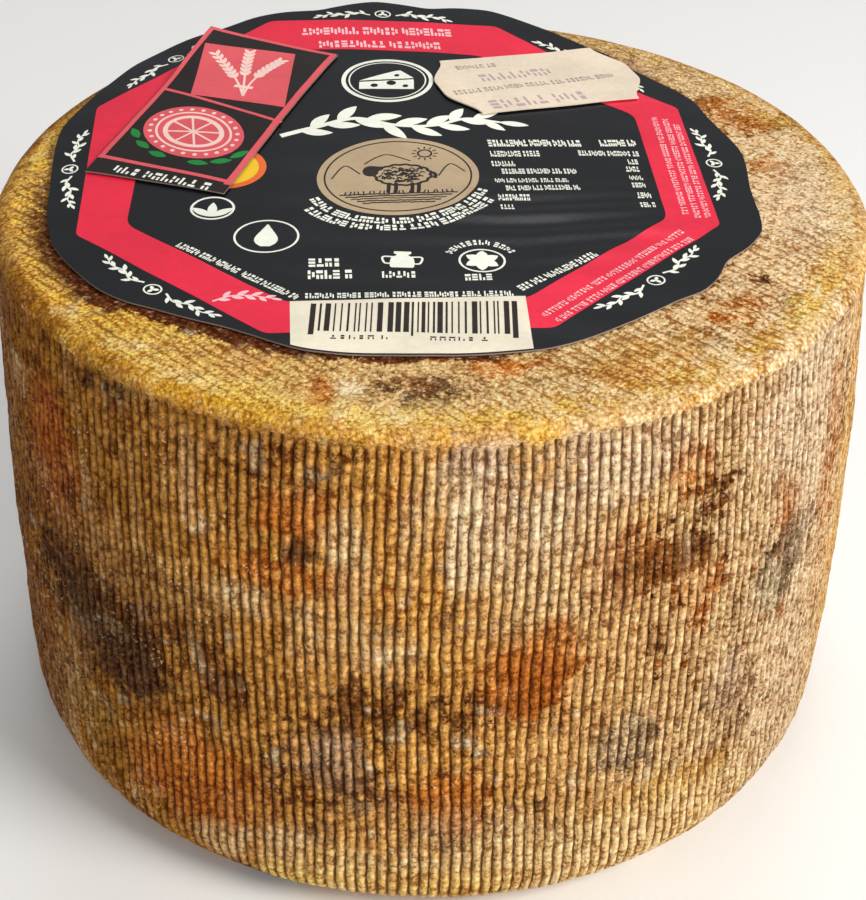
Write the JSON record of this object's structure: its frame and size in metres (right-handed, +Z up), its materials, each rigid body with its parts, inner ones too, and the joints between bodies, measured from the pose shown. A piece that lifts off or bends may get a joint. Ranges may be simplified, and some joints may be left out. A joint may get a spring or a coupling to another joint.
{
  "type": "cheese wheel",
  "caption": "Uncut drum-shaped wheel of cured pressed cheese with a cloth-ribbed rind, a scalloped round paper label, a square tag and a small sticker on its top.",
  "frame": {"origin": "centre of the flat foot, at the bottom of the wheel", "axes": "+Z up along the wheel's axis, -Y towards the viewer of the label, +X to the viewer's right"},
  "size_m": [0.1563, 0.1558, 0.1099],
  "materials": {
    "rind": "dry mottled golden-brown rind pressed with the ribs of its cloth, with pale, orange, grey and dark brown mould patches",
    "round_label_print": "glossy coated paper printed blue-black with a pink eight-sided band, a tan medallion and white marks",
    "tag_print": "glossy coated paper printed dark with a red square, a red seal and green ribbon ends",
    "sticker_paper": "matt cream paper with faint grey marks"
  },
  "bodies": {
    "root": {"cheese_wheel": "rind", "round_label": "round_label_print", "square_tag": "tag_print", "date_sticker": "sticker_paper"}
  },
  "joints": []
}
